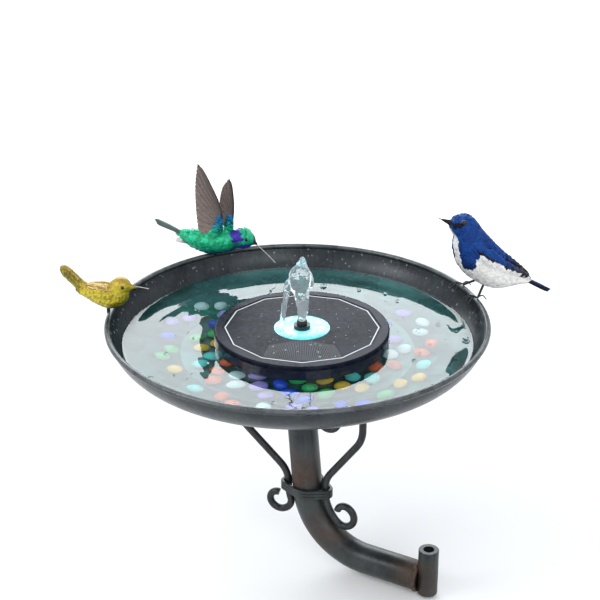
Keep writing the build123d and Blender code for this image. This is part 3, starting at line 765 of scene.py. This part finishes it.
hummer_place = perch(120, -4)
hummer_skin = rounded_body("hummingbird", [
    [(-30, 20.5, 0, 2.6, 3.4), (-24, 18.6, 0, 5.4, 6), (-15, 15, 0, 9, 9.2), (-3, 12.2, 0, 11, 10.8),
     (8, 11.9, 0, 10.9, 10.6), (18, 13, 0, 9.2, 9), (26, 15.5, 0, 8.2, 8), (32.5, 16.8, 0, 9.6, 9),
     (37.5, 15.8, 0, 7.2, 7), (42, 13, 0, 3.2, 3), (46, 10.4, 0, 1.1, 1)],
    [(3, 18, 4, 7.5, 4.5), (7, 25, 5, 6.8, 3.2), (9.5, 32, 5.4, 5.4, 2), (11, 39, 5.4, 3.2, 1.2)],
    [(16, 18, -4, 5.5, 4), (18.5, 25, -5, 5.4, 2.6), (19.6, 31, -5.4, 4.4, 1.6), (20.4, 37, -5.4, 2.8, 1)]], 0.8, 7)


def hummer_tint(spot, normal):
    tone = mixed((0.0, 0.4, 0.15), (0.02, 0.66, 0.36), 0.5 + 0.7 * field(spot * 0.2))
    # Faces turned down go deep blue and darker: blue underside plumage with painted shade on it.
    tone = mixed(tone, (0.003, 0.07, 0.26), max(0.0, -0.25 - normal.y) * 1.5)
    tone = mixed(tone, (0.0, 0.2, 0.45), (spot.y - 24) * 0.09)
    ear = Vector((spot.x - 28, spot.y - 20.5, 0)).length
    tone = mixed(tone, (0.05, 0.02, 0.42), (7.0 - ear) * 0.7)
    throat = (spot.x - 28) * 0.2 * (1.0 if spot.y < 13 else 0.0)
    tone = mixed(tone, (0.03, 0.06, 0.5), throat)
    return mixed(tone, (0.02, 0.03, 0.03), (spot.x - 42) * 0.6)


scale_finish = tinted_finish("iridescent_scales", 0.34, 0.35, 1300.0, 0.3, 0.0003)
finished("hummingbird_body_skin", hummer_skin, hummer_place, scale_finish, "ironwork", "green_plumage",
         "hummingbird_body", tint=hummer_tint)


def feather_shape(camber=0.06, blunt=0.35, thick=0.02, rows=9):
    """One feather a unit long and a unit wide, lying along x, cambered, closed on both faces."""
    mesh = bpy.data.meshes.new("feather")
    points, faces = [], []
    for side in (1, -1):
        for row in range(rows):
            share = row / (rows - 1)
            point = (1.0 - max(0.0, (share - blunt) / (1 - blunt)) ** 2.2) ** 0.5
            half = max(0.5 * (min(1.0, 0.45 + 2.2 * share)) * point, 0.02)
            lift = camber * math.sin(math.pi * share)
            for across in (-1, 0, 1):
                skin = thick * side * (1 - abs(across) * 0.8)
                points.append((share, across * half, lift + (0.05 * (1 - abs(across)) + skin)))
    for row in range(rows - 1):
        for column in range(2):
            a = row * 3 + column
            faces.append((a, a + 3, a + 4, a + 1))
            b = a + rows * 3
            faces.append((b, b + 1, b + 4, b + 3))
    for row in range(rows - 1):
        for column, order in ((0, 1), (2, -1)):
            a, b = row * 3 + column, row * 3 + column + rows * 3
            faces.append((a, b, b + 3, a + 3)[::order])
    for start in (0, (rows - 1) * 3):
        for column in range(2):
            a, b = start + column, start + column + rows * 3
            faces.append((a, a + 1, b + 1, b))
    mesh.from_pydata(points, [], faces)
    outward(mesh)
    return bpy.data.objects.new("feather", mesh)


def lying(along, across):
    """The turn of a feather whose length runs along and whose width runs across."""
    return Matrix((along, across, along.cross(across).normalized())).transposed().to_euler()


def plumage(name, skin, place, count, length, width, lean, tint, finish, slot, flow, seed, keep, mottle):
    """Small overlapping feathers over a skin. flow gives the way they lie in the bird's own frame."""
    dice = random.Random(seed)
    inverse = place.inverted()
    areas, total = [], 0.0
    skin.calc_loop_triangles()
    for triangle in skin.loop_triangles:
        total += triangle.area
        areas.append(total)
    spots, turns, sizes, tints = [], [], [], []
    turn_in = place.to_3x3().normalized()
    for number in range(count):
        triangle = skin.loop_triangles[bisect.bisect(areas, dice.random() * total) % len(areas)]
        first, second = sorted((dice.random(), dice.random()))
        corners = [skin.vertices[index].co for index in triangle.vertices]
        spot = corners[0] * first + corners[1] * (second - first) + corners[2] * (1 - second)
        local = inverse @ spot
        normal = triangle.normal.copy()
        local_normal = (turn_in.inverted() @ normal).normalized()
        if not keep(local):
            continue
        along = turn_in @ Vector(flow(local))
        along -= normal * along.dot(normal)
        if along.length < 0.05:
            continue
        along.normalize()
        along = (along + normal * lean).normalized()
        turns.append(lying(along, normal.cross(along).normalized()))
        spots.append(spot)
        grow = dice.uniform(0.85, 1.15)
        sizes.append((length * grow, width * grow, length * grow))
        tone = tint(local, local_normal)
        shade = dice.uniform(1.0 - mottle, 1.15)
        tints.append(tuple(min(1.0, part * shade) for part in tone))
    feathers = set_out(name, feather_shape(0.1, rows=4), finish, spots, turns, sizes, 1.0, 0.08, seed, tints)
    held(feathers, "ironwork", slot)


plumage("hummingbird_scales", hummer_skin, hummer_place, 1500, 0.0042, 0.0034, 0.12, hummer_tint, scale_finish,
        "green_plumage", lambda spot: (-1.0, 0.12, 0.0), 11,
        lambda spot: spot.x < 40 and math.dist(spot, (36.2, 18.4, math.copysign(6.6, spot.z))) > 2.8, 0.35)


def fan(name, place, rows, finish, slot, seed, *stands_for, camber=0.05):
    """Long feathers: each row gives root, tip, width, the side the flat face looks to and a tone."""
    spots, turns, sizes, tints = [], [], [], []
    turn_in = place.to_3x3().normalized()
    for root, tip, width, face, tone in rows:
        start, end = place @ Vector(root), place @ Vector(tip)
        along = (end - start).normalized()
        spots.append(start)
        turns.append(lying(along, (turn_in @ Vector(face)).cross(along).normalized()))
        length = (end - start).length
        sizes.append((length, width / 1000, length * 0.35))
        tints.append(tone)
    feathers = set_out(name, feather_shape(camber, 0.55, 0.008), finish, spots, turns, sizes, 1.0, 0.0, seed, tints)
    held(feathers, "ironwork", slot, *stands_for)


def wing_rows(root_from, root_to, tips, width, tones, lift):
    """Rows for fan(): quills spaced along a line of tips, each lying a little over the one before."""
    rows = []
    quill_tips = curve_through(tips, len(tips) * 3)
    for number, tip in enumerate(quill_tips):
        share = number / (len(quill_tips) - 1)
        root = tuple(a + (b - a) * share for a, b in zip(root_from, root_to))
        rows.append(((*root[:2], root[2] + lift * share), (*tip[:2], root[2] + lift * (1 + share)),
                     width * (0.85 + 0.2 * share), (0, 0, 1), mixed(*tones, share * 0.7 + 0.3 * (number % 2))))
    return rows


wing_finish = tinted_finish("wing_feather", 0.45, 0.1, 500.0, 0.45, 0.0003)
wing_tones = ((0.13, 0.1, 0.09), (0.34, 0.26, 0.23))
near_rows = wing_rows((11, 45, 5.2), (7, 25, 5.2), [
    (-10.5, 96), (-12.5, 84), (-13.5, 70), (-13.5, 56), (-13, 42), (-12, 29)], 9, wing_tones, 0.5)
fan("hummingbird_near_wing", hummer_place, near_rows, wing_finish, "wing_brown", 3, "hummingbird_wing_near")
far_rows = wing_rows((21, 42, -5.4), (17, 26, -5.4), [
    (18.5, 77), (13, 70), (10.5, 61), (9.5, 52), (10, 43), (11.5, 36)], 7.5, wing_tones, -0.5)
fan("hummingbird_far_wing", hummer_place, far_rows, wing_finish, "wing_brown", 4, "hummingbird_wing_far")
for name, points in (
        ("near", [(7, 24, 5.6), (11.5, 36, 5.9), (12, 46, 6), (7, 62, 6), (-1, 80, 6), (-9.5, 94.5, 5.8)]),
        ("far", [(20, 26, -5.4), (22, 38, -5.2), (22.6, 50, -5.2), (21.8, 62, -5.2), (20.2, 71, -5.2),
                 (18.5, 76.5, -5.2)])):
    line = [hummer_place @ Vector(point) for point in curve_through(points, 28)]
    edge = curve_tube(f"hummingbird_{name}_wing_edge", line, 0.0016, wing_finish)
    shade = edge.data.attributes.new("tint", "FLOAT_COLOR", "POINT")
    shade.data.foreach_set("color", [0.06, 0.045, 0.04, 1.0] * len(edge.data.vertices))
    held(edge, "ironwork", "wing_brown")
tail_rows = []
for number in range(7):
    share = (number - 3) / 3
    out = abs(share)
    tail_rows.append(((-28, 21 - out, share * 2.2), (-56 + 3 * out, 34.5 - 2.5 * out, share * 5.5), 5.0,
                      (0, 1, 0.12 * share), mixed((0.02, 0.09, 0.08), (0.045, 0.055, 0.06), out * 0.7 + 0.3)))
for number in range(5):
    share = (number - 2) / 2
    tail_rows.append(((-14, 9.5, share * 3), (-35, 13.5, share * 4.5), 6.0, (0, 1, 0), (0.72, 0.7, 0.68)))
fan("hummingbird_tail_feathers", hummer_place, tail_rows, wing_finish, "green_plumage", 5, "hummingbird_tail")
for side in (-1, 1):
    ball(f"hummingbird_eye_{side + 2}", hummer_place, (36.2, 18.4, 7.3 * side), 2.3, eye_finish, "green_plumage", 0.7)
bill_line = []
for step in range(12):
    share = step / 11
    bill_line.append(hummer_place @ Vector((44 + 20 * share, 11.6 - 18.4 * share - 2.2 * share ** 2, 0)))
held(curve_tube("hummingbird_long_bill", bill_line, 0.0011, needle_finish), "ironwork", "bill_black",
     "hummingbird_bill")

# ---------------------------------------------------------------- blue flycatcher
# A blue and white flycatcher cast life-size and painted: deep blue head, back and wings, a white
# stripe between two blue breast patches, a white belly, and wire legs that grip the rim.

fly_place = perch(19, 180)
fly_skin = rounded_body("flycatcher", [
    [(7, 63, 0, 12.4, 12), (4.5, 56, 0, 14.6, 14), (2.5, 47, 0, 17, 16.2), (-2, 37, 0, 18, 17),
     (-11, 28, 0, 17.2, 16.5), (-22, 20.5, 0, 14.8, 14.4), (-32, 17.5, 0, 11, 11.5), (-42, 15.5, 0, 7, 7.5),
     (-50, 13.5, 0, 4, 5)],
    [(0, 55, 0, 11.5, 11), (-9, 46, 0, 10.5, 11), (-20, 36, 0, 9.5, 10)],
    [(9.3, 66.2, 0, 11.9, 11.4), (14, 67.4, 0, 9.6, 9.2)],
    [(21.5, 70, 0, 2.9, 2.8), (28, 72.6, 0, 1.6, 1.5), (34.6, 75.4, 0, 0.6, 0.5)],
    *([(0, 51, 13 * side, 6.5, 3.2), (-8, 45, 14.6 * side, 8.5, 3.8), (-20, 36, 12.6 * side, 8.2, 3.6),
       (-34, 28, 9.5 * side, 5, 3), (-46, 21, 6 * side, 2.6, 2), (-52, 17.5, 4.4 * side, 1.2, 1.2)]
      for side in (1, -1))], 0.9, 7)


def fly_tint(spot, normal):
    side = abs(spot.z)
    # Painted light: besides the random mottling, faces that look up get a brighter blue.
    blue = mixed((0.004, 0.02, 0.12), (0.008, 0.066, 0.3), 0.45 + 0.5 * field(spot * 0.1) + 0.35 * max(0.0, normal.y))
    # Painted shade: the white turns grey on faces turned down, under the belly.
    white = mixed((0.8, 0.79, 0.76), (0.46, 0.47, 0.47), max(0.0, -normal.y - 0.1) * 0.9)
    line = 47.0 + (spot.x + 5) * 0.64
    if spot.x > 22 and spot.y > 66:
        return (0.012, 0.012, 0.014)
    if spot.x > 10 and side > 2.5 and abs(spot.y - 73.6 + (spot.x - 10.5) * 0.2) < 1.5:
        return (0.003, 0.003, 0.006)
    stripe_middle = -7.5 if spot.y < 50 else -7.5 + (spot.y - 50) * 0.3
    if spot.x > 2 and spot.y < 68 and abs(spot.z - stripe_middle) < 3.6 - max(0.0, spot.y - 52) * 0.1:
        return white
    if spot.y > 52 and spot.x > -12:
        return blue
    patch = math.hypot((spot.x - 11.5) / 14.0, (spot.y - 46) / 18.0)
    if patch < 1.0:
        return mixed(blue, (0.004, 0.006, 0.028), (42 - spot.y) * 0.08)
    if spot.y > line:
        edge = min(1.0, max(0.0, (line + 3.4 - spot.y) / 2.0)) if side > 5 else 0.0
        tone = mixed(blue, (0.07, 0.07, 0.08), (-30 - spot.x) * 0.08)
        return mixed(tone, (0.006, 0.006, 0.01), edge)
    return white


fly_finish = tinted_finish("painted_plumage", 0.5, 0.0, 900.0, 0.15, 0.0002, 0.15)
finished("flycatcher_body_skin", fly_skin, fly_place, fly_finish, "ironwork", "blue_plumage", "flycatcher_body",
         "flycatcher_bill", tint=fly_tint)
plumage("flycatcher_feathers", fly_skin, fly_place, 3200, 0.0042, 0.0026, 0.012, fly_tint, fly_finish, "blue_plumage",
        lambda spot: (-0.6, -0.8, 0.0) if spot.y > 30 else (-0.95, -0.3, 0.0), 12,
        lambda spot: spot.x < 20 and math.dist(spot, (10.5, 73.4, math.copysign(9.0, spot.z))) > 3.4, 0.1)
quills = []
for side in (-1, 1):
    for number in range(7):
        share = number / 6
        quills.append(((-12 - 8 * share, 35 - 4 * share + 2 * (1 - share), side * (15.6 - 1.4 * share)),
                       (-40 - 13 * share, 20.5 - 3.5 * share + 3.5 * (1 - share), side * (8.5 - 3.8 * share)),
                       5.2 - share, (0.1, 0.25, side),
                       mixed((0.006, 0.02, 0.08), (0.008, 0.008, 0.011), 0.5 + 0.5 * share)))
for number in range(9):
    share = (number - 4) / 4
    out = abs(share)
    quills.append(((-44, 17.5 - 1.2 * out, share * 2.5), (-75 + 3 * out, 2.4 - out, share * 2.6), 5.4,
                   (0.3, 1, 0.1 * share), mixed((0.008, 0.02, 0.07), (0.012, 0.012, 0.016), out)))
fan("flycatcher_quills", fly_place, quills, fly_finish, "blue_plumage", 6, "flycatcher_tail", camber=0.03)
pale_ring = speckled("pale_eye_ring", (0.04, 0.06, 0.12), (0.1, 0.13, 0.2), 0.4, 0.5)
for side in (-1, 1):
    ball(f"flycatcher_eye_ring_{side + 2}", fly_place, (10.5, 73.4, 8.6 * side), 2.9, pale_ring, "blue_plumage", 0.45)
    ball(f"flycatcher_eye_{side + 2}", fly_place, (10.5, 73.4, 9.4 * side), 2.65, eye_finish, "bill_black", 0.6)

toe_length = 0.0125
hook = [Vector((toe_length * share, 0,
                0.0012 + 0.0016 * math.sin(math.pi * share) - 0.0042 * max(0.0, share - 0.6) ** 1.2 * 2.0))
        for share in (step / 10 for step in range(11))]
toe = curve_tube("toe", hook, 0.0013, pin_finish)
bpy.context.scene.collection.objects.unlink(toe)
spots, turns, sizes = [], [], []
for azimuth in (13.5, 24.5):
    angle = math.radians(azimuth)
    foot = bath_centre + level(angle) * perch_reach
    for bend, reach in ((180 - 28, 1.0), (180, 1.05), (180 + 28, 1.0), (0, 0.7)):
        spots.append(foot + Vector((0, 0, 0.0002)))
        turns.append((0, 0, angle + math.radians(bend)))
        sizes.append((reach, 1.0, 1.0))
held(set_out("flycatcher_toes", toe, pin_finish, spots, turns, sizes), "ironwork", "bill_black")

# ---------------------------------------------------------------- water jet
# The jet stands about 60 mm above the nozzle, swells into a mushroom and falls back on the left in
# one glassy strand. It belongs to the nozzle, so it moves with it.

nozzle_low, nozzle_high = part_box("nozzle")
nozzle_top = Vector(((nozzle_low.x + nozzle_high.x) / 2, (nozzle_low.y + nozzle_high.y) / 2, nozzle_high.z))
upright = Matrix(((1, 0, 0), (0, 0, -1), (0, 1, 0))).to_4x4()
jet_place = Matrix.Translation(nozzle_top) @ upright @ Matrix.Scale(0.001, 4)
jet_skin = rounded_body("jet", [
    [(0, -0.5, 0, 3.4, 3.4), (0.6, 9, 0, 5.2, 5), (0.2, 19, 0, 6.2, 6), (-1, 28, 0, 7.2, 7), (-2, 36, 0, 9.6, 9),
     (-1.8, 43, 0, 10.2, 9.6), (-0.6, 50, 0, 6.4, 6), (0.2, 56, 0, 3.6, 3.4), (0.6, 61, 0, 1.6, 1.6)],
    [(-6, 43, 1, 4, 4), (-11.5, 37, 2, 3.6, 3.6), (-14, 28, 3, 3, 3), (-15.6, 17, 3.6, 2.6, 2.6), (-17, 7, 4, 2.4, 2.4),
     (-18.4, -2.5, 4.4, 2.8, 2.8)],
    [(4, 45, 0, 4.6, 4.6), (7.6, 40, 1, 3.2, 3.2), (8.6, 34, 1, 2, 2)],
    [(-4, 56, 0, 1.5, 1.5), (-4.6, 53, 0, 1.6, 1.6)],
    [(3, 34, 4, 3.4, 3), (4.6, 26, 4, 2.4, 2), (5, 17, 3, 1.5, 1.5)]], 0.75, 4)


def jet_swirl(spot):
    return 0.8 * field(Vector((spot.x * 0.3, spot.y * 0.13, spot.z * 0.3))) + 0.25 * field(spot * 0.55)


# The jet's faint white glow is painted light that makes the strand read whiter; no lamp is in it.
jet_finish = clear_finish("jet_water", (0.97, 1.0, 1.0), (1.0, 1.0, 1.0), 0.12, 1.2, (0.75, 0.93, 1.0))
finished("jet_of_water", jet_skin, jet_place, jet_finish, "nozzle", "lens", relief=jet_swirl)

# ---------------------------------------------------------------- bubbles and drops
# Splashes leave bubbles floating on the pool and clear drops on the inside wall of the dish.


def drop_shape(flat):
    work = bmesh.new()
    bmesh.ops.create_uvsphere(work, u_segments=12, v_segments=8, radius=1.0)
    for vert in work.verts:
        vert.co.z *= flat if vert.co.z > 0 else 0.25
    return bpy.data.objects.new("drop", mesh_from(work, "drop"))


splash = random.Random(21)
full_turn = 2 * math.pi
bubble_spots, bubble_sizes = [], []
for x, y, radius in ((25, 116, 3.6), (60, 107, 2.2), (96, 82, 1.8), (112, 18, 2.4), (120, -12, 1.6), (104, -44, 2),
                     (-20, -121, 1.6), (131, 30, 1.8), (48, -116, 1.4), (85, 99, 2.6), (-98, 62, 1.6),
                     (-118, -30, 1.4)):
    bubble_spots.append((bath_centre.x + x / 1000, bath_centre.y + y / 1000, water_height))
    bubble_sizes.append((radius / 1000,) * 3)
for number in range(46):
    angle, reach = splash.uniform(0, full_turn), splash.uniform(0.088, shore - 0.008)
    bubble_spots.append((*on_circle(bath_centre, angle, reach), water_height))
    bubble_sizes.append((splash.uniform(0.0004, 0.0012),) * 3)
bubble_finish = clear_finish("bubble_film", (0.95, 1.0, 1.0), (1.0, 1.0, 1.0), 0.0, 1.12)
held(set_out("bubbles", drop_shape(0.9), bubble_finish, bubble_spots, [(0, 0, 0)] * len(bubble_spots), bubble_sizes,
             1.0, 0.1, 8), "ironwork")

spots, turns, sizes = [], [], []
for number in range(150):
    angle, height = splash.uniform(0, full_turn), bath_centre.z - splash.uniform(0.005, water_drop - 0.002)
    outwards = level(angle)
    spot, facing = dish_tree.ray_cast(Vector((bath_centre.x, bath_centre.y, height)), outwards)[:2]
    spots.append(spot)
    turns.append((facing if facing.dot(outwards) < 0 else -facing).to_track_quat("Z", "Y").to_euler())
    size = splash.uniform(0.0004, 0.0011)
    sizes.append((size, size * 1.2, size))
# These drops share the jet's finish, painted glow included.
held(set_out("wall_drops", drop_shape(0.6), jet_finish, spots, turns, sizes, 1.0, 0.1, 9), "ironwork")

spots, sizes = [], []
for number in range(60):
    angle, reach = splash.uniform(0, full_turn), splash.uniform(0.03, 0.066)
    spots.append((*on_circle(panel_middle, angle, reach), panel_high.z))
    sizes.append((splash.uniform(0.0004, 0.0014),) * 3)
# The panel drops share the jet's finish, painted glow included.
held(set_out("panel_drops", drop_shape(0.5), jet_finish, spots, [(0, 0, 0)] * len(spots), sizes, 1.0, 0.1, 10),
     "fountain")

# ---------------------------------------------------------------- floor, light and camera
# A pale seamless floor, a large soft lamp behind and above that the water mirrors, weaker ones
# at the left and in front, and a camera a little above the rim.

floor_mesh = bpy.data.meshes.new("floor")
floor_reach, floor_height = 6.0, cad_box[0].z - 0.002
floor_mesh.from_pydata([(-floor_reach, -floor_reach, floor_height), (floor_reach, -floor_reach, floor_height),
                        (floor_reach, floor_reach, floor_height), (-floor_reach, floor_reach, floor_height)],
                       [], [(0, 1, 2, 3)])
floor_finish, shader, place = new_finish("pale_floor")
dress(shader, {"Base Color": blended(cloud(place, 3.0), (0.84, 0.84, 0.84), (0.88, 0.88, 0.88)), "Roughness": 0.9})
placed("floor", floor_mesh, floor_finish, False)

world = bpy.data.worlds.new("studio")
world.use_nodes = True
dress(world.node_tree.nodes["Background"], {"Color": (0.93, 0.96, 1.0), "Strength": 0.95})
bpy.context.scene.world = world
bpy.context.scene.view_settings.view_transform = "Standard"


def soft_lamp(name, spot, target, width, height, power, colour=(1.0, 1.0, 1.0)):
    lamp = bpy.data.lights.new(name, "AREA")
    lamp.shape = "RECTANGLE"
    lamp.size, lamp.size_y = width, height
    lamp.energy = power
    lamp.color = colour
    holder = linked(name, lamp)
    holder.location = spot
    holder.rotation_euler = (Vector(target) - Vector(spot)).to_track_quat("-Z", "Y").to_euler()


soft_lamp("lamp_back", (-0.35, 2.1, 1.25), bath_centre, 2.4, 1.1, 36.0, (0.92, 0.97, 1.0))
soft_lamp("lamp_left", (-1.6, -0.5, 1.4), bath_centre, 0.9, 0.9, 12.0)
soft_lamp("lamp_front", (0.6, -1.8, 1.6), bath_centre, 1.2, 1.2, 12.0)

view_height = math.radians(25.0)
view_distance = 1.4
aim = bath_centre + Vector((0.0022, 0.0, 0.0176))
lens_length, sensor_width = 92.88, 36.0
camera = linked("camera", bpy.data.cameras.new("camera"))
camera.location = aim + Vector((0.0, -math.cos(view_height), math.sin(view_height))) * view_distance
camera.rotation_euler = (aim - camera.location).to_track_quat("-Z", "Y").to_euler()
camera.data.lens, camera.data.sensor_width = lens_length, sensor_width
camera.data.clip_start, camera.data.clip_end = 0.05, 50.0
bpy.context.scene.camera = camera
